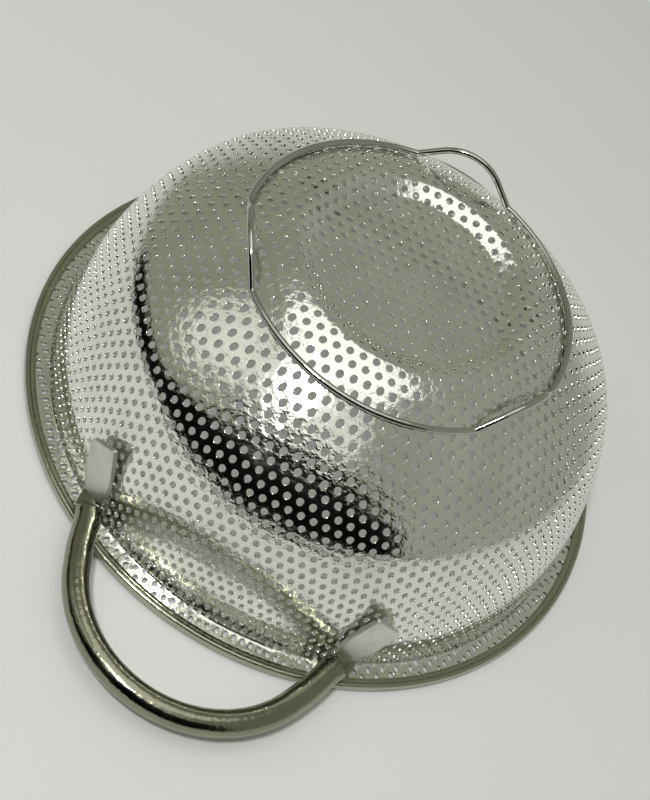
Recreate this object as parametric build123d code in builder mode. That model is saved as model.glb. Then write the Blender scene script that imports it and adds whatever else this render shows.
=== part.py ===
from build123d import *

import math
import os

# Stainless steel colander, standing upside down on its rim: +Z is up, towards the wire base ring.
# The origin is the centre of the circle that the rim rests on. All lengths are in millimetres.

# Perforated sheet
sheet_thickness = 0.6
sheet_grip = 1.8

# Meridian of the bowl's outer surface: wall, knuckle and dome are three tangent arcs, drawn as chords
flange_width = 5.1
flange_bend_width = 2.0
flange_bend_rise = 1.4
wall_arc_radius = 114.0
wall_angle = 23.8
wall_chord_count = 2
knuckle_radius = 25.0
knuckle_angle = 24.9
knuckle_chord_count = 2
dome_arc_radius = 214.0
dome_angle = 7.6
dome_chord_count = 1

# Stepped base inside the wire ring: a shoulder, a raised crest and a sunk flat disc
shoulder_width = 6.9
shoulder_rise = 3.6
crest_width = 8.5
crest_rise = 2.4
step_width = 6.5
step_drop = 3.3

# Perforation, laid out on the flat sheet before it is drawn
hole_diameter = 12.5
hole_pitch = 24.0
hole_sides = 6
hole_grid_turn = 9.5
panel_count = 40
rim_margin = 1.5

# Rolled rim band
rim_radius = 100.0
band_width = 3.5
band_height = 3.6
band_chamfer = 1.2

# Wire base ring with three feet
wire_diameter = 2.1
wire_sides = 6
wire_seat_gap = 0.1
foot_count = 3
foot_half_angle = 19.5
foot_peak_height = 13.5
foot_bend_radius = 16.5
foot_lean = 20.0

# Handles: bent tube with pinched, fanned ends
tube_diameter = 8.2
tube_sides = 8
tube_lift = 0.5
handle_reach = 29.3
handle_bend_radius = 40.0
handle_leg_lean = 22.0
pinch_length = 5.5
pinch_inset = 0.3
pinch_overlap = 1.0
tab_thickness = 2.2
tab_seat_gap = 0.2
tab_root_height = 9.2
tab_length = 21.0
tab_lean = 17.0
tab_root_width = 8.6
tab_end_width = 11.5
tab_end_slope = 3.0
tab_corner_radius = 0.9

# Worked out from the values above
flange_top = (band_height + sheet_thickness) / 2
sheet_edge_radius = rim_radius - band_width + sheet_grip
wall_foot_radius = rim_radius - band_width - flange_width
full_turn = 360.0
right_angle = 90.0


# The meridian, as points of radius and height from the flange's edge to the axis


def arc_points(start, slope, radius, turn, chords):
    """Points along an arc that leaves start at a slope above the horizontal and flattens by turn."""
    points = []
    for n in range(1, chords + 1):
        now = math.radians(slope - turn * n / chords)
        before = math.radians(slope)
        run = radius * (math.sin(before) - math.sin(now))
        rise = radius * (math.cos(now) - math.cos(before))
        points.append((start[0] - run, start[1] + rise))
    return points


def rise_by(point, width, rise):
    """The next point inwards, a width nearer the axis and a rise higher."""
    return point[0] - width, point[1] + rise


flange_bend = (wall_foot_radius + flange_bend_width, flange_top)
wall_foot = (wall_foot_radius, flange_top + flange_bend_rise)
wall = [wall_foot] + arc_points(wall_foot, right_angle, wall_arc_radius, wall_angle, wall_chord_count)
knuckle_slope = right_angle - wall_angle
knuckle = arc_points(wall[-1], knuckle_slope, knuckle_radius, knuckle_angle, knuckle_chord_count)
dome_slope = knuckle_slope - knuckle_angle
dome = arc_points(knuckle[-1], dome_slope, dome_arc_radius, dome_angle, dome_chord_count)
shoulder = rise_by(dome[-1], shoulder_width, shoulder_rise)
crest = rise_by(shoulder, crest_width, crest_rise)
step = rise_by(crest, step_width, -step_drop)
drawn_part = [flange_bend] + wall + knuckle + dome + [shoulder, crest, step]
meridian = [(sheet_edge_radius, flange_top)] + drawn_part + [(0, step[1])]


def inset(points, depth):
    """The line that runs a depth inside a line of points, with its corners mitred."""
    moved = []
    for n, point in enumerate(points):
        normals = []
        for start, end in zip(points[max(n - 1, 0) : n + 1], points[max(n, 1) : n + 2]):
            length = math.dist(start, end)
            normals.append(((start[1] - end[1]) / length, (end[0] - start[0]) / length))
        across = sum(normal[0] for normal in normals)
        up = sum(normal[1] for normal in normals)
        reach = depth * len(normals) / (across**2 + up**2)
        moved.append((point[0] + reach * across, point[1] + reach * up))
    return moved


inner_meridian = inset(meridian, sheet_thickness)


def wall_at(height):
    """Radius of the wall's outer surface at a height, and the angle by which it leans inwards there."""
    for (low_radius, low), (high_radius, high) in zip(wall, wall[1:]):
        if height <= high:
            break
    share = (height - low) / (high - low)
    lean = math.degrees(math.atan2(low_radius - high_radius, high - low))
    return low_radius + share * (high_radius - low_radius), lean


# The bowl: one perforated sheet, drawn to shape, with a flange at its mouth and a stepped base


def hole_places():
    """Where the flat sheet's holes come to lie when the sheet is drawn over the meridian.

    Each ring of the flat sheet keeps its area. So a hole at a flat radius f comes to lie where
    f * f is twice the sum of radius times length along the meridian, counted from the axis.
    """
    from_axis = meridian[::-1]
    flat_radii = [0]
    for (r_in, z_in), (r_out, z_out) in zip(from_axis, from_axis[1:]):
        ring = (r_in + r_out) * math.hypot(r_out - r_in, z_out - z_in)
        flat_radii.append(math.sqrt(flat_radii[-1] ** 2 + ring))
    lowest = flange_top + rim_margin + hole_diameter / 2
    reach = 2 * int(flat_radii[-1] / hole_pitch) + 1
    places = []
    for row in range(-reach, reach + 1):
        for column in range(-reach, reach + 1):
            x = hole_pitch * (column + row / 2)
            y = hole_pitch * row * math.sqrt(3) / 2
            flat_radius = math.hypot(x, y)
            bearing = math.atan2(y, x) + math.radians(hole_grid_turn)
            for n in range(len(flat_radii) - 1):
                if flat_radii[n] <= flat_radius < flat_radii[n + 1]:
                    (r_in, z_in), (r_out, z_out) = from_axis[n], from_axis[n + 1]
                    length = math.hypot(r_out - r_in, z_out - z_in)
                    # Along a cone the ring's area grows with the square of the flat radius
                    area = (flat_radius**2 - flat_radii[n] ** 2) / 2
                    growth = (r_out - r_in) / length
                    if abs(growth) * length < sheet_thickness:
                        along = area / r_in
                    else:
                        along = (math.sqrt(r_in**2 + 2 * growth * area) - r_in) / growth
                    radius = r_in + growth * along
                    height = z_in + (z_out - z_in) * along / length
                    if height < lowest:
                        continue
                    out = Vector(math.cos(bearing), math.sin(bearing))
                    normal = out * (z_in - z_out) + Vector(0, 0, r_out - r_in)
                    places.append(Plane(out * radius + Vector(0, 0, height), z_dir=normal).location)
    return places


def stack_panels(points, floor_height):
    """Add a many-sided solid that fills the given meridian from floor_height up to its flat top."""
    base_radius, base_height = points[0]
    if base_height > floor_height:
        with BuildSketch(Plane.XY.offset(floor_height)) as panels:
            RegularPolygon(base_radius, panel_count, major_radius=False)
        extrude(panels.sketch, amount=base_height - floor_height)
    for (low_radius, low), (high_radius, high) in zip(points, points[1:]):
        if high == low:
            continue
        lean = math.degrees(math.atan2(low_radius - high_radius, abs(high - low)))
        with BuildSketch(Plane.XY.offset(low)) as panels:
            RegularPolygon(low_radius, panel_count, major_radius=False)
        mode = Mode.ADD if high > low else Mode.SUBTRACT
        extrude(panels.sketch, amount=high - low, taper=lean, mode=mode)


with BuildPart() as hole_punch:
    with BuildSketch():
        RegularPolygon(hole_diameter / 2, hole_sides)
    extrude(amount=hole_diameter / 2, both=True)

with BuildPart() as hollow:
    stack_panels(inner_meridian[1:], flange_top - 2 * sheet_thickness)

with BuildPart() as perforated_bowl:
    with BuildSketch(Plane.XY.offset(flange_top)):
        RegularPolygon(sheet_edge_radius, panel_count)
    extrude(amount=-sheet_thickness)
    stack_panels(drawn_part, flange_top)
    add(hollow.part, mode=Mode.SUBTRACT)
    with Locations(*hole_places()):
        add(hole_punch.part, mode=Mode.SUBTRACT)

# The rim band: a rolled strip that grips the sheet's edge, with a narrow flat foot to rest on

with BuildPart() as rim_band:
    with BuildSketch(Plane.XZ) as band_section:
        with Locations((rim_radius - band_width / 2, band_height / 2)):
            Rectangle(band_width, band_height)
        chamfer(band_section.vertices().group_by(Axis.X)[-1], band_chamfer)
        with Locations((sheet_edge_radius, flange_top)):
            Rectangle(band_width, sheet_thickness, align=(Align.MAX, Align.MAX), mode=Mode.SUBTRACT)
    revolve(axis=Axis.Z)

# The base ring: one wire on the dome's shoulder, bent up into feet.
# A sixth of it, from the middle of an arc to the peak of a foot, is mirrored and turned.

wire_radius = wire_diameter / 2
dome_normal = math.radians(right_angle - dome_slope + dome_angle)
ring_radius = dome[-1][0] / math.cos(math.pi / panel_count) + (wire_radius + wire_seat_gap) * math.cos(dome_normal)
ring_height = dome[-1][1] + (wire_radius + wire_seat_gap) * math.sin(dome_normal)
half_arc = full_turn / foot_count / 2 - foot_half_angle
kink = Vector(ring_radius, 0).rotate(Axis.Z, foot_half_angle) + Vector(0, 0, ring_height)
foot_up = Vector(math.sin(math.radians(foot_lean)), 0, math.cos(math.radians(foot_lean)))
foot_peak = Vector(kink.X, 0, ring_height) + foot_up * foot_peak_height
leg_way = (foot_peak - kink).normalized()
leg_slope = math.atan2(foot_peak_height, kink.Y)
leg_length = (foot_peak - kink).length - foot_bend_radius * math.tan(leg_slope)
bend_centre = foot_peak - foot_up * (foot_bend_radius / math.cos(leg_slope))
foot_normal = Vector(0, 1, 0).cross(foot_up)

with BuildPart() as ring_sixth:
    arc_start = Vector(1, 0).rotate(Axis.Z, foot_half_angle)
    arc_way = arc_start.rotate(Axis.Z, right_angle)
    with BuildSketch(Plane(kink, x_dir=arc_start, z_dir=arc_way)):
        RegularPolygon(wire_radius, wire_sides)
    revolve(axis=Axis.Z, revolution_arc=half_arc)
    with BuildSketch(Plane(kink - leg_way * wire_radius / 2, x_dir=foot_normal, z_dir=leg_way)):
        RegularPolygon(wire_radius, wire_sides)
    extrude(amount=leg_length + wire_radius / 2)
    with BuildSketch(Plane(kink + leg_way * leg_length, x_dir=foot_normal, z_dir=leg_way)):
        RegularPolygon(wire_radius, wire_sides)
    revolve(axis=Axis(bend_centre, foot_normal), revolution_arc=math.degrees(leg_slope))

with BuildPart() as base_ring:
    with PolarLocations(0, foot_count, start_angle=right_angle):
        add(ring_sixth.part)
        add(ring_sixth.part.mirror(Plane.XZ))

# The front handle: half a bent tube, its end pinched flat into a tab on the wall, and the mirror image

tube_radius = tube_diameter / 2
tube_height = band_height + tube_lift + tube_radius
lean = math.radians(handle_leg_lean)
tip = Vector(0, -rim_radius - handle_reach, tube_height)
bend_axis = tip + Vector(0, handle_bend_radius, 0)
bend_turn = right_angle - handle_leg_lean
bend_end = (tip - bend_axis).rotate(Axis.Z, bend_turn) + bend_axis
grip_way = Vector(math.sin(lean), math.cos(lean))
root_radius, root_lean = wall_at(tab_root_height)
seat_radius = root_radius / math.cos(math.pi / panel_count) + tab_seat_gap
flat_end = Vector(bend_end.X, bend_end.Y)
inward = flat_end.dot(grip_way)
root_distance = -inward - math.sqrt(inward**2 - flat_end.length**2 + (seat_radius + tab_thickness / 2) ** 2)
neck_distance = root_distance - pinch_length
root_out = (flat_end + grip_way * root_distance).normalized()
root = root_out * seat_radius + Vector(0, 0, tab_root_height)
tab_side = root_out.rotate(Axis.Z, right_angle)
wall_normal = root_out.rotate(Axis(root, tab_side), -root_lean)
tab_plane = Plane(root, x_dir=tab_side, z_dir=wall_normal)
tab_way = Vector(math.sin(math.radians(tab_lean)), math.cos(math.radians(tab_lean)))
tab_across = Vector(tab_way.Y, -tab_way.X)
tab_axis = tab_plane.x_dir * tab_way.X + tab_plane.y_dir * tab_way.Y


def tube_outline(height, width):
    """The tube's outline, round where height and width are alike, and flattened where it is pinched."""
    corners = [math.tau * n / tube_sides for n in range(tube_sides)]
    return Polygon(*[(height / 2 * math.cos(a), width / 2 * math.sin(a)) for a in corners], align=None)


with BuildPart() as handle_front:
    with BuildSketch(Plane(tip, x_dir=(0, 0, 1), z_dir=(1, 0, 0))):
        tube_outline(tube_diameter, tube_diameter)
    revolve(axis=Axis(bend_axis, (0, 0, 1)), revolution_arc=bend_turn)
    with BuildSketch(Plane(bend_end, x_dir=(0, 0, 1), z_dir=grip_way)):
        tube_outline(tube_diameter, tube_diameter)
    extrude(amount=neck_distance)
    with BuildSketch(Plane(bend_end + grip_way * neck_distance, x_dir=(0, 0, 1), z_dir=grip_way)):
        tube_outline(tube_diameter, tube_diameter)
    with BuildSketch(Plane(root + wall_normal * tab_thickness / 2, x_dir=wall_normal, z_dir=tab_axis)):
        tube_outline(tab_thickness - 2 * pinch_inset, tab_root_width - 2 * pinch_inset)
    loft(ruled=True)
    with BuildSketch(tab_plane) as tab:
        ends = [
            tab_across * (tab_root_width / 2) - tab_way * pinch_overlap,
            tab_way * (tab_length - tab_end_slope) + tab_across * (tab_end_width / 2),
            tab_way * tab_length - tab_across * (tab_end_width / 2),
            tab_across * (-tab_root_width / 2) - tab_way * pinch_overlap,
        ]
        Polygon(*ends, align=None)
        fillet(tab.vertices().sort_by(Axis.Y)[-2:], tab_corner_radius)
    extrude(amount=tab_thickness)
    mirror(about=Plane.YZ)

# The rear handle is the front one turned about the bowl's axis

with BuildPart() as handle_rear:
    add(handle_front.part, rotation=(0, 0, full_turn / 2))

os.makedirs("parts", exist_ok=True)

perforated_bowl.part.label = "perforated_bowl"
rim_band.part.label = "rim_band"
base_ring.part.label = "base_ring"
handle_front.part.label = "handle_front"
handle_rear.part.label = "handle_rear"

export_step(perforated_bowl.part, "parts/perforated_bowl.step")
export_step(rim_band.part, "parts/rim_band.step")
export_step(base_ring.part, "parts/base_ring.step")
export_step(handle_front.part, "parts/handle_front.step")
export_step(handle_rear.part, "parts/handle_rear.step")
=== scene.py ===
import math

import bpy
import numpy as np
from mathutils import Matrix, Vector


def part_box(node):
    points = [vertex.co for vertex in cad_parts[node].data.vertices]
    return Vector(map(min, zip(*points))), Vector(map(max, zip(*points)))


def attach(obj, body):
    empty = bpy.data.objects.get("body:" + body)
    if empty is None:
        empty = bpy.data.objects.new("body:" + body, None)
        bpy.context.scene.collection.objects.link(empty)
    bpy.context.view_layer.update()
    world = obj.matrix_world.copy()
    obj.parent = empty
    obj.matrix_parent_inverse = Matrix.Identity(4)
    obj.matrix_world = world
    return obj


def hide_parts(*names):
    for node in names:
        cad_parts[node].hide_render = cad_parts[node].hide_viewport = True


# Stainless steel colander, upside down on a pale table. Everything is in metres, in the CAD frame:
# +Z up towards the wire ring, the front handle towards -Y.

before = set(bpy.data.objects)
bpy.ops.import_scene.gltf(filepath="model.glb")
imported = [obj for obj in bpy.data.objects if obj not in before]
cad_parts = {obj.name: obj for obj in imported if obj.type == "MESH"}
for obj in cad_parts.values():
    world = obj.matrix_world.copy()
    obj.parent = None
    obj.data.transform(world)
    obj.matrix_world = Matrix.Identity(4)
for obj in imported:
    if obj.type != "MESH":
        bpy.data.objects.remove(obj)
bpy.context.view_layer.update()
mm = 0.001

# Sizes of the bowl's outer surface, from the mouth to the axis
rim_radius = -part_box("rim_band")[0].x
band_width = 3.5 * mm
band_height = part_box("rim_band")[1].z
sheet_thickness = 0.6 * mm
sheet_grip = 1.8 * mm
flange_width = 5.1 * mm
flange_bend_radius = 1.4 * mm
wall_rise = 1.4 * mm
wall_arc_radius = 114.0 * mm
wall_turn = math.radians(23.8)
knuckle_radius = 25.0 * mm
knuckle_turn = math.radians(24.9)
dome_arc_radius = 214.0 * mm
dome_turn = math.radians(7.6)
shoulder_width = 6.9 * mm
shoulder_rise = 3.6 * mm
crest_width = 8.5 * mm
crest_rise = 2.4 * mm
step_width = 6.5 * mm
step_drop = 3.3 * mm
dome_end_radius = 9.0 * mm
shoulder_radius = 5.0 * mm
crest_radius = 5.0 * mm
step_radius = 3.0 * mm

# Perforation of the flat sheet, before drawing
hole_pitch = 4.18 * mm
hole_radius = 1.12 * mm
hole_corners = 12
# Rings from the flat sheet into a hole: radius, depth, and how far the surface leans to the hole
hole_rings = (
    (1.24 * mm, 0.0, math.radians(1.2)),
    (1.18 * mm, 0.03 * mm, math.radians(30)),
    (hole_radius, 0.13 * mm, math.radians(72)),
)
grid_turn = math.radians(9.45)
grid_centre = (-0.64 * mm, -1.11 * mm)
# Drawing lengthens the sheet between these lengths from the axis, and twists it a little
stretch_start = 42.0 * mm
stretch_end = 82.0 * mm
stretch_gain = 5.6 * mm
sheet_twist = math.radians(-1.0)

# Wire ring
wire_radius = 1.05 * mm
ring_radius = 53.6 * mm
ring_height = 76.35 * mm
foot_bearings = tuple(math.radians(a) for a in (92.6, 208.2, 333.4))
foot_half_angle = math.radians(18.3)
foot_peak_height = 13.5 * mm
foot_bend_radius = 16.5 * mm
foot_lean = math.radians(20.0)
kink_radius = 2.2 * mm

# Handles
tube_radius = 4.08 * mm
tube_height = 8.2 * mm
handle_reach = 29.3 * mm
handle_bend_radius = 40.0 * mm
handle_leg_lean = math.radians(22.0)
fold_bearing = math.radians(61.4)
fold_height = 9.4 * mm
tab_lean = math.radians(17.0)
tab_thickness = 1.9 * mm
tab_gap = 0.55 * mm
upright = Vector((0, 0, 1))

# Camera, picture and lamps
picture_height = 800
focal_pixels = 1643.6
camera_elevation = math.radians(49.25)
camera_roll = math.radians(34.22)
camera_bearing_turn = math.radians(-2.0)
camera_distance = 5.5147
camera_shift = (-0.0091, 0.0540)
lamp_height = 1.2


# The bowl's meridian


def arc_line(start, slope, radius, turn, steps):
    """Points of an arc that leaves start at a slope and flattens by turn on its way in and up."""
    points = []
    for n in range(1, steps + 1):
        now = slope - turn * n / steps
        run = radius * (math.sin(slope) - math.sin(now))
        rise = radius * (math.cos(now) - math.cos(slope))
        points.append((start[0] - run, start[1] + rise))
    return points


def rounded_corner(before, corner, after, radius, steps=10):
    """Points of the arc that rounds the corner between the directions to before and to after."""
    corner = np.array(corner)
    back = np.array(before) - corner
    ahead = np.array(after) - corner
    back = back / np.linalg.norm(back)
    ahead = ahead / np.linalg.norm(ahead)
    half = math.acos(np.clip(back @ ahead, -1, 1)) / 2
    middle = (back + ahead) / np.linalg.norm(back + ahead)
    centre = corner + middle * radius / math.sin(half)
    first = corner + back * radius / math.tan(half) - centre
    sweep = math.pi - 2 * half
    side = 1 if back[0] * ahead[1] - back[1] * ahead[0] < 0 else -1
    points = []
    for n in range(steps + 1):
        angle = side * sweep * n / steps
        turned = (
            first[0] * math.cos(angle) - first[1] * math.sin(angle),
            first[0] * math.sin(angle) + first[1] * math.cos(angle),
        )
        points.append((centre[0] + turned[0], centre[1] + turned[1]))
    return points


def meridian_points():
    """The outer surface's meridian, as radius and height, from the sheet's edge to the axis."""
    steps = 24
    trimmed = 3
    flange_top = (band_height + sheet_thickness) / 2
    wall_radius = rim_radius - band_width - flange_width
    edge = (rim_radius - band_width + sheet_grip, flange_top)
    foot = (wall_radius, flange_top)
    wall_start = (wall_radius, flange_top + wall_rise)
    vertical = math.pi / 2
    wall = arc_line(wall_start, vertical, wall_arc_radius, wall_turn, steps)
    knuckle = arc_line(wall[-1], vertical - wall_turn, knuckle_radius, knuckle_turn, steps)
    dome_slope = vertical - wall_turn - knuckle_turn
    dome = arc_line(knuckle[-1], dome_slope, dome_arc_radius, dome_turn, steps)
    shoulder = (dome[-1][0] - shoulder_width, dome[-1][1] + shoulder_rise)
    crest = (shoulder[0] - crest_width, shoulder[1] + crest_rise)
    step = (crest[0] - step_width, crest[1] - step_drop)
    axis = (0.0, step[1])
    line = [edge]
    line += rounded_corner(edge, foot, wall_start, flange_bend_radius)
    line += [p for p in wall if p[1] > line[-1][1]] + knuckle + dome[:-trimmed]
    line += rounded_corner(dome[-trimmed - 1], dome[-1], shoulder, dome_end_radius)
    line += rounded_corner(dome[-1], shoulder, crest, shoulder_radius)
    line += rounded_corner(shoulder, crest, step, crest_radius)
    line += rounded_corner(crest, step, axis, step_radius)
    return np.array(line + [axis])


class Meridian:
    """The meridian, addressed by the radius that a point had in the flat sheet.

    That radius is the length along the meridian from the axis, less what the sheet was
    stretched by over the steps and the dome. Around the wall the sheet is gathered in.
    """

    def __init__(self):
        samples = 4001
        line = meridian_points()[::-1]
        steps = np.linalg.norm(np.diff(line, axis=0), axis=1)
        length = np.concatenate([[0], np.cumsum(steps)])
        fine = np.linspace(0, length[-1], samples)
        self.radius = np.interp(fine, length, line[:, 0])
        self.height = np.interp(fine, length, line[:, 1])
        way = np.diff(line, axis=0)
        slope = np.arctan2(way[:, 1], way[:, 0])
        middles = (length[1:] + length[:-1]) / 2
        slope = np.interp(fine, middles, slope)
        self.across = -np.sin(slope)
        self.up = np.cos(slope)
        share = np.clip((fine - stretch_start) / (stretch_end - stretch_start), 0, 1)
        share = share * share * (3 - 2 * share)
        self.flat = fine - stretch_gain * share
        self.twist = sheet_twist * share
        self.flat_edge = self.flat[-1]

    def wall_at(self, height):
        """Radius of the wall's outer surface at a height, and how far it leans in there."""
        wall = slice(len(self.height) // 2, None)
        radius = np.interp(height, self.height[wall][::-1], self.radius[wall][::-1])
        return radius, math.asin((height - band_height) / wall_arc_radius)

    def place(self, points, depth):
        """Where points of the flat sheet lie at a depth under the outer surface, and its normals."""
        flat_radius = np.minimum(np.hypot(points[:, 0], points[:, 1]), self.flat_edge)
        bearing = np.arctan2(points[:, 1], points[:, 0])
        bearing = bearing + np.interp(flat_radius, self.flat, self.twist)
        radius = np.interp(flat_radius, self.flat, self.radius)
        height = np.interp(flat_radius, self.flat, self.height)
        across = np.interp(flat_radius, self.flat, self.across)
        up = np.interp(flat_radius, self.flat, self.up)
        normal = np.stack([across * np.cos(bearing), across * np.sin(bearing), up], 1)
        place = np.stack([radius * np.cos(bearing), radius * np.sin(bearing), height], 1)
        return place - normal * depth, normal


# Mesh helpers


def mesh_object(name, vertices, faces, normals=None):
    """An object of the given mesh, smooth, with the given corner normals if there are any."""
    mesh = bpy.data.meshes.new(name)
    mesh.from_pydata([tuple(v) for v in vertices], [], [tuple(f) for f in faces])
    mesh.polygons.foreach_set("use_smooth", [True] * len(mesh.polygons))
    if normals is not None:
        mesh.normals_split_custom_set([tuple(n) for n in normals])
    mesh.update()
    piece = bpy.data.objects.new(name, mesh)
    bpy.context.scene.collection.objects.link(piece)
    return piece


def bridge(rings, closed):
    """Faces between closed rings of equally many points, and from the last to the first if closed."""
    faces = []
    count = rings.shape[1]
    last = len(rings) if closed else len(rings) - 1
    for a in range(last):
        b = (a + 1) % len(rings)
        for n in range(count):
            m = (n + 1) % count
            faces.append((a * count + n, a * count + m, b * count + m, b * count + n))
    return faces


def tube_along(name, path, radius, sides):
    """A round tube along a closed line of points."""
    path = np.asarray(path)
    way = np.roll(path, -1, 0) - np.roll(path, 1, 0)
    way = way / np.linalg.norm(way, axis=1)[:, None]
    out = path * [1, 1, 0]
    out = out / np.linalg.norm(out, axis=1)[:, None]
    side = np.cross(way, out)
    side = side / np.linalg.norm(side, axis=1)[:, None]
    out = np.cross(side, way)
    angles = np.arange(sides) * math.tau / sides
    rings = (
        path[:, None]
        + radius * np.cos(angles)[None, :, None] * out[:, None]
        + radius * np.sin(angles)[None, :, None] * side[:, None]
    )
    return mesh_object(name, rings.reshape(-1, 3), bridge(rings, True))


# The perforated bowl


def lattice():
    """Cell centres of the flat sheet's hexagonal grid, as whole steps along its two directions."""
    slack = 1.3
    reach = int(meridian.flat_edge / hole_pitch * slack) + 2
    steps = [(i, j) for i in range(-reach, reach + 1) for j in range(-reach, reach + 1)]
    return np.array(steps)


def grid_to_flat(steps):
    """Places in the flat sheet of points that are given in grid steps."""
    one = hole_pitch * np.array([math.cos(grid_turn), math.sin(grid_turn)])
    second_turn = grid_turn + math.pi / 3
    two = hole_pitch * np.array([math.cos(second_turn), math.sin(second_turn)])
    return np.array(grid_centre) + steps[:, :1] * one + steps[:, 1:] * two


def cell_corners(cells):
    """Places of the cells' corners in the flat sheet, and each cell's six of them."""
    # Counted in thirds of a step, so that neighbours share them
    corner_steps = np.array([(1, 1), (-1, 2), (-2, 1), (-1, -1), (1, -2), (2, -1)])
    keys = (3 * cells[:, None] + corner_steps[None]).reshape(-1, 2)
    unique, index = np.unique(keys, axis=0, return_inverse=True)
    return grid_to_flat(unique / 3), index.reshape(-1, 6)


def rings_into_holes(centres):
    """Rings of points from the sheet down into holes at the given centres, and the normals there."""
    angles = grid_turn + math.pi / 6 + np.arange(hole_corners) * math.tau / hole_corners
    rim = np.stack([np.cos(angles), np.sin(angles)], 1)
    middle, _ = meridian.place(centres, 0)
    middle = np.repeat(middle, hole_corners, 0)
    rings, ring_normals = [], []
    for radius, depth, tilt in hole_rings + ((hole_radius, sheet_thickness, 0),):
        flat_ring = (centres[:, None] + radius * rim[None]).reshape(-1, 2)
        place, normal = meridian.place(flat_ring, depth)
        inward = middle - place
        inward -= (inward * normal).sum(1)[:, None] * normal
        inward /= np.linalg.norm(inward, axis=1)[:, None]
        rings.append(place)
        ring_normals.append(normal * math.cos(tilt) + inward * math.sin(tilt))
    return rings, ring_normals


class SheetMesh:
    """A part of the perforated sheet, gathered cell by cell as faces and their corners' normals."""

    def __init__(self, corner_flat, hole_centres):
        self.count = len(corner_flat)
        self.top, self.top_normal = meridian.place(corner_flat, 0)
        self.bottom, self.bottom_normal = meridian.place(corner_flat, sheet_thickness)
        self.rings, self.ring_normals = rings_into_holes(hole_centres)
        ring_size = len(self.rings[0])
        self.ring_start = [2 * self.count + n * ring_size for n in range(len(self.rings))]
        self.faces, self.normals = [], []

    def add(self, face, normals):
        """One face with its corners' normals."""
        self.faces.append(tuple(face))
        self.normals.extend(normals)

    def add_plain_cell(self, cell):
        """A cell at the sheet's edge, without its hole."""
        back = cell[::-1]
        self.add(cell, [self.top_normal[c] for c in cell])
        self.add([c + self.count for c in back], [-self.bottom_normal[c] for c in back])

    def add_web(self, cell, first):
        """The metal between a cell's corners and its hole, outside and inside."""
        first_ring, last_ring = self.ring_start[0], self.ring_start[-1]
        outer, inner = self.ring_normals[0], -self.ring_normals[-1]
        top, bottom, count = self.top_normal, -self.bottom_normal, self.count
        per_side = hole_corners // 6
        half = per_side // 2
        for side in range(6):
            here, there = cell[side], cell[(side + 1) % 6]
            spots = [first + (side * per_side + k) % hole_corners for k in range(per_side + 1)]
            fan = [(here, spots[k], spots[k + 1]) for k in range(half)]
            fan += [(there, spots[k], spots[k + 1]) for k in range(half, per_side)]
            for corner, a, b in fan:
                self.add((corner, first_ring + b, first_ring + a), (top[corner], outer[b], outer[a]))
                self.add((corner + count, last_ring + a, last_ring + b), (bottom[corner], inner[a], inner[b]))
            middle = spots[half]
            self.add((here, there, first_ring + middle), (top[here], top[there], outer[middle]))
            self.add(
                (there + count, here + count, last_ring + middle),
                (bottom[there], bottom[here], inner[middle]),
            )

    def add_hole(self, first):
        """The hole's punched edge and its wall through the sheet."""
        last_leaning = len(self.rings) - 2
        for n in range(hole_corners):
            a, b = first + n, first + (n + 1) % hole_corners
            for ring in range(len(self.rings) - 1):
                upper, lower = self.ring_start[ring], self.ring_start[ring + 1]
                above = self.ring_normals[ring]
                below = self.ring_normals[min(ring + 1, last_leaning)]
                face = (upper + a, upper + b, lower + b, lower + a)
                self.add(face, (above[a], above[b], below[b], below[a]))

    def add_cut_edge(self, corners):
        """The edge round the part, where a cell has no neighbour."""
        sides = {(c[k], c[(k + 1) % 6]) for c in corners.tolist() for k in range(6)}
        for a, b in sorted(sides):
            if (b, a) not in sides:
                out = np.cross(self.top[a] - self.top[b], self.top_normal[a])
                out = out / max(np.linalg.norm(out), 1e-12)
                self.add((b, a, a + self.count, b + self.count), [out] * 4)

    def build(self, name):
        """The object, whose inner faces take the second material."""
        vertices = np.concatenate([self.top, self.bottom] + self.rings)
        inner = [int(self.count <= min(face) < 2 * self.count) for face in self.faces]
        used = np.unique(np.concatenate([np.array(face) for face in self.faces]))
        renumber = np.full(len(vertices), -1)
        renumber[used] = np.arange(len(used))
        faces = [tuple(renumber[list(face)]) for face in self.faces]
        piece = mesh_object(name, vertices[used], faces, self.normals)
        piece.data.polygons.foreach_set("material_index", inner)
        return piece


def perforated_piece(name, inner_flat, outer_flat):
    """The part of the bowl whose cells lie between two radii of the flat sheet."""
    cells = lattice()
    centres = grid_to_flat(cells)
    flat = np.hypot(centres[:, 0], centres[:, 1])
    inside = (flat >= inner_flat) & (flat < outer_flat)
    inside &= flat < meridian.flat_edge + hole_pitch / math.sqrt(3)
    cells, centres, flat = cells[inside], centres[inside], flat[inside]
    holed = flat + hole_rings[0][0] < meridian.flat_edge
    corner_flat, corners = cell_corners(cells)
    whole = np.hypot(corner_flat[:, 0], corner_flat[:, 1])[corners].min(1) < meridian.flat_edge
    corners, centres, holed = corners[whole], centres[whole], holed[whole]

    sheet = SheetMesh(corner_flat, centres[holed])
    hole_start = 0
    for cell, has_hole in zip(corners, holed):
        if has_hole:
            sheet.add_web(cell, hole_start)
            sheet.add_hole(hole_start)
            hole_start += hole_corners
        else:
            sheet.add_plain_cell(cell)
    sheet.add_cut_edge(corners)
    return sheet.build(name)


meridian = Meridian()


def make_bowl():
    """The bowl in rings of the flat sheet: the stepped base, the dome, and the wall's two halves."""
    ends = {
        "bowl_base": 48 * mm,
        "bowl_dome": 78 * mm,
        "bowl_wall": 108 * mm,
        "bowl_foot": meridian.flat_edge + hole_pitch,
    }
    pieces, start = [], 0
    for name, end in ends.items():
        piece = perforated_piece(name, start, end)
        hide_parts("perforated_bowl")
        pieces.append(piece)
        start = end
    return pieces


# The rim band


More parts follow.
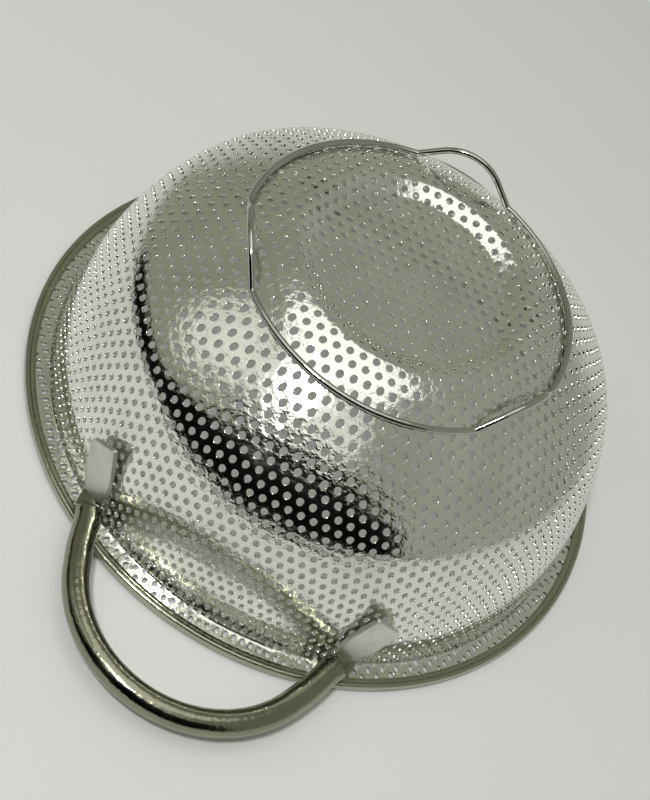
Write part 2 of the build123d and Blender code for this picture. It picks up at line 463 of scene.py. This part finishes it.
def bead_line():
    """The bead's outline, from the groove over its top to the outside."""
    radius, sweep, steps = 0.85 * mm, 165, 10
    centre = (rim_radius - radius, band_height - radius)
    points = []
    for n in range(steps + 1):
        angle = math.radians(sweep - sweep * n / steps)
        points.append((centre[0] + radius * math.cos(angle), centre[1] + radius * math.sin(angle)))
    return points


def rim_outline():
    """The band's cross-section: lip and groove, bead, then underneath and back to the slot."""
    lip = rim_radius - band_width
    groove = ((0, 2.15), (0.05, 2.5), (0.25, 2.7), (1.2, 2.85), (1.6, 2.8), (1.75, 2.9))
    outside = ((0, 1.2), (0.2, 0.55), (0.6, 0.15), (1.2, 0))
    underneath = ((0.7, 0), (0.25, 0.1), (0, 0.45), (0, 1.45), (0.4, 1.5), (0.4, 2.12))
    line = [(lip + out * mm, height * mm) for out, height in groove]
    line += bead_line()
    line += [(rim_radius - inward * mm, height * mm) for inward, height in outside]
    line += [(lip + out * mm, height * mm) for out, height in underneath]
    return np.array(line)


def make_rim():
    """The rolled band: a bead outside, a groove, and a flat lip that grips the sheet."""
    around = 360
    sharp_angle = math.radians(50)
    angles = np.arange(around) * math.tau / around
    outline = rim_outline()
    across = outline[None, :, 0] * np.cos(angles)[:, None]
    along = outline[None, :, 0] * np.sin(angles)[:, None]
    height = np.broadcast_to(outline[None, :, 1], (around, len(outline)))
    rings = np.stack([across, along, height], 2)
    rim = mesh_object("rim_band_rolled", rings.reshape(-1, 3), bridge(rings, True))
    rim.data.set_sharp_from_angle(angle=sharp_angle)
    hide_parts("rim_band")
    return rim


# The wire ring


def fillet_path(points, radii, step):
    """A closed line through points whose corners are rounded by the given radii."""
    points = [Vector(p) for p in points]
    path = []
    for n, corner in enumerate(points):
        before, after = points[n - 1], points[(n + 1) % len(points)]
        if radii[n] == 0:
            path.append(corner)
            continue
        back = (before - corner).normalized()
        ahead = (after - corner).normalized()
        half = back.angle(ahead) / 2
        centre = corner + (back + ahead).normalized() * (radii[n] / math.sin(half))
        start = corner + back * (radii[n] / math.tan(half)) - centre
        axis = start.cross(ahead)
        sweep = math.pi - 2 * half
        count = max(2, int(sweep / step))
        for k in range(count + 1):
            path.append(centre + Matrix.Rotation(sweep * k / count, 3, axis) @ start)
    return [tuple(p) for p in path]


def ring_point(bearing):
    """The middle of the wire where it lies on the dome."""
    return Vector((ring_radius * math.cos(bearing), ring_radius * math.sin(bearing), ring_height))


def foot_peak(bearing):
    """The corner that a foot's bend rounds."""
    out = Vector((math.cos(bearing), math.sin(bearing), 0))
    up = out * math.sin(foot_lean) + Vector((0, 0, math.cos(foot_lean)))
    chord = ring_radius * math.cos(foot_half_angle)
    return out * chord + Vector((0, 0, ring_height)) + up * foot_peak_height


def make_ring():
    """One wire: arcs on the dome's shoulder, bent up into feet."""
    arc_steps, wire_sides = 48, 16
    bend_step = math.radians(3)
    corners, radii = [], []
    for foot, middle in enumerate(foot_bearings):
        start, end = ring_point(middle - foot_half_angle), ring_point(middle + foot_half_angle)
        corners += [start, foot_peak(middle), end]
        radii += [kink_radius, foot_bend_radius, kink_radius]
        following = foot_bearings[(foot + 1) % len(foot_bearings)]
        span = (following - middle) % math.tau - 2 * foot_half_angle
        for k in range(1, arc_steps):
            corners.append(ring_point(middle + foot_half_angle + span * k / arc_steps))
            radii.append(0)
    path = fillet_path(corners, radii, bend_step)
    ring = tube_along("wire_ring", path, wire_radius, wire_sides)
    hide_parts("base_ring")
    return ring


# The handles


def smooth_rows(rows, per_row):
    """Rows between the given rows, on Catmull-Rom curves."""
    rows = np.asarray(rows, float)
    ends = np.concatenate([[2 * rows[0] - rows[1]], rows, [2 * rows[-1] - rows[-2]]])
    out = []
    for n in range(len(rows) - 1):
        a, b, c, d = ends[n : n + 4]
        for k in range(per_row):
            t = k / per_row
            square = (2 * a - 5 * b + 4 * c - d) * t**2
            cube = (3 * b - a - 3 * c + d) * t**3
            out.append(0.5 * (2 * b + (c - a) * t + square + cube))
    out.append(rows[-1])
    return np.array(out)


def section(centre, half_width, half_height, squareness):
    """One row of a handle's skin: its centre, its two half axes and how square its outline is."""
    return [*centre, *half_width, *half_height, squareness]


def tab_plane():
    """The fold's middle, the way out from the wall there, and the tab's ways up and across."""
    out = Vector((math.cos(fold_bearing), -math.sin(fold_bearing), 0))
    along = Vector((-out.y, out.x, 0))
    wall_radius, lean = meridian.wall_at(fold_height)
    up = upright * math.cos(lean) - out * math.sin(lean)
    face = out * math.cos(lean) + upright * math.sin(lean)
    fold = out * wall_radius + upright * fold_height + face * (tab_gap + tab_thickness / 2)
    tab_way = up * math.cos(tab_lean) + along * math.sin(tab_lean)
    tab_across = along * math.cos(tab_lean) - up * math.sin(tab_lean)
    return fold, face, tab_way, tab_across


def tube_rows():
    """Rows of the tube's skin: from the handle's tip round the bend, then the leg and its pinch."""
    fold, face, _, tab_across = tab_plane()
    bend_steps, leg_start, sinking = 24, 7, 5
    tip = Vector((0, -rim_radius - handle_reach, tube_height))
    bend_axis = tip + Vector((0, handle_bend_radius, 0))
    turn = math.pi / 2 - handle_leg_lean
    rows = []
    for n in range(bend_steps + 1):
        angle = turn * n / bend_steps
        side = Vector((math.sin(angle), -math.cos(angle), 0))
        centre = bend_axis + side * handle_bend_radius
        rows.append(section(centre, side * tube_radius, upright * tube_radius, 2))
    leg_way = Vector((math.sin(handle_leg_lean), math.cos(handle_leg_lean), 0))
    rows.append(section(centre + leg_way * leg_start * mm, side * tube_radius, upright * tube_radius, 2))

    # How far before its end, half width, half height, how far turned to the wall, squareness
    pinch_end = fold + face * (tab_thickness / 2 + 0.3 * mm) - upright * tab_thickness / 2
    for before, half_width, half_height, turned, squareness in (
        (8.0, 4.08, 4.08, 0, 2),
        (5.2, 4.08, 4.08, 0, 2),
        (4.5, 4.12, 3.95, 0, 2),
        (3.9, 4.15, 3.3, 0, 2.1),
        (3.4, 4.2, 2.3, 0.05, 2.3),
        (2.9, 4.2, 1.45, 0.15, 2.6),
        (2.0, 4.15, 1.05, 0.4, 3),
        (1.0, 4.15, 0.97, 0.75, 4),
        (0.0, 4.1, 0.95, 1, 5),
    ):
        centre = pinch_end - leg_way * before * mm
        centre.z += (tube_height - pinch_end.z) * min(1, before / sinking)
        width_way = side.lerp(tab_across, turned).normalized()
        rows.append(section(centre, width_way * half_width * mm, upright * half_height * mm, squareness))
    return rows


def tab_rows():
    """Rows of the tab's skin, up the wall from the fold."""
    fold, face, tab_way, tab_across = tab_plane()
    squareness = 11
    rows = []
    # How far up from the fold, how far its middle lies outwards, its half width, tilt and thickness
    for length, shift, half_width, tilt, thick in (
        (0.2, 0.2, 4.1, 0, 1.0),
        (2.0, 0.1, 4.7, 0, 1.0),
        (4.5, 0.0, 5.4, 0, 1.0),
        (8.0, 0.0, 5.85, 1, 1.0),
        (12.0, 0.0, 5.75, 5, 1.0),
        (15.5, 0.1, 5.7, 10, 1.0),
        (18.0, 0.2, 5.7, 15, 1.0),
        (19.4, 0.2, 5.5, 16, 0.98),
        (20.2, 0.2, 4.9, 15, 0.9),
        (20.6, 0.2, 3.8, 14, 0.65),
    ):
        centre = fold + (tab_way * length + tab_across * shift) * mm
        tilted = tab_across * math.cos(math.radians(tilt)) - tab_way * math.sin(math.radians(tilt))
        rows.append(section(centre, tilted * half_width * mm, face * thick * tab_thickness / 2, squareness))
    return rows


def skin_rings(rows, sides):
    """Rings of points for rows of the handle's skin, each a superellipse."""
    angles = np.arange(sides) * math.tau / sides
    cos, sin = np.cos(angles), np.sin(angles)
    power = 2 / rows[:, 9][:, None]
    across = np.sign(cos)[None] * np.abs(cos)[None] ** power
    height = np.sign(sin)[None] * np.abs(sin)[None] ** power
    wide, high = rows[:, None, 3:6], rows[:, None, 6:9]
    return rows[:, None, 0:3] + across[..., None] * wide + height[..., None] * high


def make_handle(name, node, turn):
    """A bent tube with both ends pinched and fanned out into tabs on the wall."""
    sides, per_row = 40, 4
    sharp_angle = math.radians(55)
    tube = smooth_rows(tube_rows(), per_row)
    half = skin_rings(np.concatenate([tube, smooth_rows(tab_rows(), per_row)]), sides)
    mirrored = half[:0:-1] * [-1, 1, 1]
    rings = np.concatenate([mirrored, half])
    count = len(rings) * sides
    faces = bridge(rings, False)
    from_middle = [abs(n // sides + 0.5 - len(mirrored)) for n in range(len(faces))]
    faces += [tuple(range(sides))[::-1], tuple(range(count - sides, count))]
    handle = mesh_object(name, rings.reshape(-1, 3), faces)
    handle.data.transform(Matrix.Rotation(turn, 4, "Z"))
    handle.data.set_sharp_from_angle(angle=sharp_angle)
    on_tab = [int(far > len(tube)) for far in from_middle] + [1, 1]
    handle.data.polygons.foreach_set("material_index", on_tab)
    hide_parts(node)
    return handle


# Materials


def steel(name, tint, rough, wave, grain, metallic=1):
    """Polished steel: uneven colour and roughness, waves left by drawing, and a fine grain."""
    material = bpy.data.materials.new(name)
    material.use_nodes = True
    nodes, links = material.node_tree.nodes, material.node_tree.links
    shader = nodes["Principled BSDF"]
    shader.inputs["Metallic"].default_value = metallic
    where = nodes.new("ShaderNodeTexCoord")

    def noise(scale, detail):
        texture = nodes.new("ShaderNodeTexNoise")
        texture.inputs["Scale"].default_value = scale
        texture.inputs["Detail"].default_value = detail
        links.new(where.outputs["Object"], texture.inputs["Vector"])
        return texture.outputs["Fac"]

    def spread(value, low, high):
        ramp = nodes.new("ShaderNodeMapRange")
        ramp.inputs["From Min"].default_value = 0.3
        ramp.inputs["From Max"].default_value = 0.7
        ramp.inputs["To Min"].default_value = low
        ramp.inputs["To Max"].default_value = high
        links.new(value, ramp.inputs["Value"])
        return ramp.outputs["Result"]

    def bump(height, strength, distance, before=None):
        node = nodes.new("ShaderNodeBump")
        node.inputs["Strength"].default_value = strength
        node.inputs["Distance"].default_value = distance
        links.new(height, node.inputs["Height"])
        if before is not None:
            links.new(before, node.inputs["Normal"])
        return node.outputs["Normal"]

    colour = nodes.new("ShaderNodeMix")
    colour.data_type = "RGBA"
    colour.inputs["A"].default_value = (*[c * 0.92 for c in tint], 1)
    colour.inputs["B"].default_value = (*[min(1, c * 1.05) for c in tint], 1)
    links.new(spread(noise(60, 4), 0, 1), colour.inputs["Factor"])
    links.new(colour.outputs["Result"], shader.inputs["Base Color"])
    links.new(spread(noise(150, 5), rough * 0.7, rough * 1.5), shader.inputs["Roughness"])
    waves = bump(noise(110, 1), wave, 0.5 * mm)
    links.new(bump(noise(650, 3), grain, 0.12 * mm, waves), shader.inputs["Normal"])
    return material


def table_material():
    """Matt pale table with a barely visible grain."""
    material = bpy.data.materials.new("pale_table")
    material.use_nodes = True
    nodes, links = material.node_tree.nodes, material.node_tree.links
    shader = nodes["Principled BSDF"]
    shader.inputs["Roughness"].default_value = 0.55
    where = nodes.new("ShaderNodeTexCoord")
    grain = nodes.new("ShaderNodeTexNoise")
    grain.inputs["Scale"].default_value = 900
    grain.inputs["Detail"].default_value = 4
    colour = nodes.new("ShaderNodeMix")
    colour.data_type = "RGBA"
    colour.inputs["A"].default_value = (0.84, 0.85, 0.845, 1)
    colour.inputs["B"].default_value = (0.91, 0.92, 0.915, 1)
    links.new(where.outputs["Object"], grain.inputs["Vector"])
    links.new(grain.outputs["Fac"], colour.inputs["Factor"])
    links.new(colour.outputs["Result"], shader.inputs["Base Color"])
    bump = nodes.new("ShaderNodeBump")
    bump.inputs["Strength"].default_value = 0.3
    bump.inputs["Distance"].default_value = 0.15 * mm
    links.new(grain.outputs["Fac"], bump.inputs["Height"])
    links.new(bump.outputs["Normal"], shader.inputs["Normal"])
    return material


def dress(pieces):
    """Every piece gets its steel; so do the CAD nodes, which the pieces replace."""
    sheet = steel("sheet_steel", (0.86, 0.865, 0.8), rough=0.1, wave=0.25, grain=0.9)
    inner = steel("inner_steel", (0.95, 0.95, 0.93), rough=0.5, wave=0.2, grain=0.35, metallic=0.2)
    # The rim band's tint is dark and olive, far darker than the bowl's steel: a painted dark reflection of
    # the dim surroundings.
    rim = steel("rim_steel", (0.43, 0.44, 0.34), rough=0.12, wave=0.25, grain=0.8)
    # The tube's tint is far darker and more olive than the bowl's steel: a painted dark reflection of the dim
    # surroundings.
    tube = steel("tube_steel", (0.30, 0.30, 0.22), rough=0.16, wave=0.2, grain=1.0)
    tab = steel("tab_steel", (0.68, 0.68, 0.62), rough=0.36, wave=0.1, grain=0.8)
    # The wire's tint is darker than the bowl's steel so that its edges read dark: a painted dark reflection
    # of the dark surroundings.
    wire = steel("wire_steel", (0.54, 0.54, 0.5), rough=0.07, wave=0.1, grain=0.3)
    finishes = {
        "bowl": (sheet, inner),
        "rim": (rim,),
        "wire": (wire,),
        "front": (tube, tab),
        "rear": (tube, tab),
    }
    for piece in pieces:
        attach(piece, "root")
        for material in finishes[piece.name.split("_")[0]]:
            piece.data.materials.append(material)
    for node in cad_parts.values():
        node.data.materials.clear()
        node.data.materials.append(tube)


# Table, light and camera


def make_table():
    """The pale table that the rim rests on."""
    half = 6.0
    corners = [(-half, -half, 0), (half, -half, 0), (half, half, 0), (-half, half, 0)]
    table = mesh_object("table", corners, [(0, 1, 2, 3)])
    table.data.materials.append(table_material())


def make_lamp(name, shape, place, size, turn, power):
    """A soft flat lamp over the colander, facing down, with its long side turned about the upright."""
    lamp = bpy.data.lights.new(name, "AREA")
    lamp.shape = shape
    lamp.size, lamp.size_y = size
    lamp.energy = power
    holder = bpy.data.objects.new(name, lamp)
    holder.location = (*place, lamp_height)
    holder.rotation_euler = (0, 0, turn)
    bpy.context.scene.collection.objects.link(holder)


def make_lamps():
    """A small key lamp in front, and three wide soft ones that the metal reflects."""
    turn = math.radians(-8)
    make_lamp("key", "ELLIPSE", (-0.25, -0.62), (0.16, 0.16), 0, 7.4)
    make_lamp("soft_box", "ELLIPSE", (-0.08, -0.03), (1.0, 0.94), 0, 2.1)
    make_lamp("strip", "RECTANGLE", (-0.52, -0.67), (1.9, 0.32), turn, 1.0)
    make_lamp("left_box", "RECTANGLE", (-1.25, -0.38), (1.0, 0.5), turn, 0.7)


def dark_material():
    """Matt black card."""
    material = bpy.data.materials.new("dark_card")
    material.use_nodes = True
    shader = material.node_tree.nodes["Principled BSDF"]
    shader.inputs["Base Color"].default_value = (0.006, 0.006, 0.006, 1)
    shader.inputs["Specular IOR Level"].default_value = 0
    return material


def make_dark_card():
    """A dark card round the camera's side and the left, and a dark mat, for the metal to reflect."""
    left, low_end, high_start, right, front = -1.15, -0.9, -0.3, 0.74, -0.6
    height, low_height = 0.76, 0.42
    side_end, side_end_height = 0.3, 0.3
    outline = [(left, 0), (right, 0), (right, height)]
    outline += [(high_start, height), (low_end, low_height), (left, low_height)]
    corners = [(x, front, z) for x, z in outline]
    corners += [(left, side_end, side_end_height), (left, side_end, 0)]
    card = mesh_object("dark_card", corners, [(0, 1, 2, 3, 4, 5), (0, 5, 6, 7)])
    edge, lift = -0.3, 0.5 * mm
    corners = [(left, front, lift), (right, front, lift), (right, edge, lift), (left, edge, lift)]
    mat = mesh_object("dark_mat", corners, [(0, 1, 2, 3)])
    mat.visible_shadow = mat.visible_diffuse = False
    material = dark_material()
    for piece in (card, mat):
        piece.data.materials.append(material)
        piece.visible_camera = False


def make_room():
    """The room's own dim light, a little paler to the right."""
    world = bpy.data.worlds.new("room")
    bpy.context.scene.world = world
    world.use_nodes = True
    nodes, links = world.node_tree.nodes, world.node_tree.links
    where = nodes.new("ShaderNodeTexCoord")
    axes = nodes.new("ShaderNodeSeparateXYZ")
    links.new(where.outputs["Generated"], axes.inputs["Vector"])

    ramp = nodes.new("ShaderNodeMapRange")
    ramp.interpolation_type = "SMOOTHSTEP"
    ramp.inputs["From Min"].default_value = -1
    ramp.inputs["From Max"].default_value = 1
    links.new(axes.outputs["X"], ramp.inputs["Value"])
    colour = nodes.new("ShaderNodeMix")
    colour.data_type = "RGBA"
    colour.inputs["A"].default_value = (0.25, 0.255, 0.20, 1)
    colour.inputs["B"].default_value = (0.31, 0.315, 0.275, 1)
    links.new(ramp.outputs["Result"], colour.inputs["Factor"])
    links.new(colour.outputs["Result"], nodes["Background"].inputs["Color"])
    nodes["Background"].inputs["Strength"].default_value = 1


def make_camera():
    """The photograph's camera, worked out from the rim's ellipse and the bowl's outline."""
    back = Vector((0, -math.cos(camera_elevation), math.sin(camera_elevation)))
    right = Vector((1, 0, 0))
    up = back.cross(right)
    place = back * camera_distance + right * camera_shift[0] + up * camera_shift[1]
    cos, sin = math.cos(camera_roll), math.sin(camera_roll)
    rolled_right = right * cos + up * sin
    rolled_up = up * cos - right * sin
    turn = Matrix.Rotation(camera_bearing_turn, 4, "Z")
    axes = Matrix((rolled_right, rolled_up, back)).transposed().to_4x4()
    lens = bpy.data.cameras.new("photo_camera")
    lens.sensor_width = 36
    lens.lens = focal_pixels * lens.sensor_width / picture_height
    lens.clip_end = 50
    camera = bpy.data.objects.new("photo_camera", lens)
    camera.matrix_world = turn @ Matrix.Translation(place * rim_radius) @ axes
    bpy.context.scene.collection.objects.link(camera)
    bpy.context.scene.camera = camera


pieces = make_bowl() + [make_rim(), make_ring()]
pieces.append(make_handle("front_handle_tube", "handle_front", 0))
pieces.append(make_handle("rear_handle_tube", "handle_rear", math.pi))

dress(pieces)
make_table()
make_lamps()
make_dark_card()
make_room()
make_camera()
bpy.context.scene.view_settings.view_transform = "Standard"
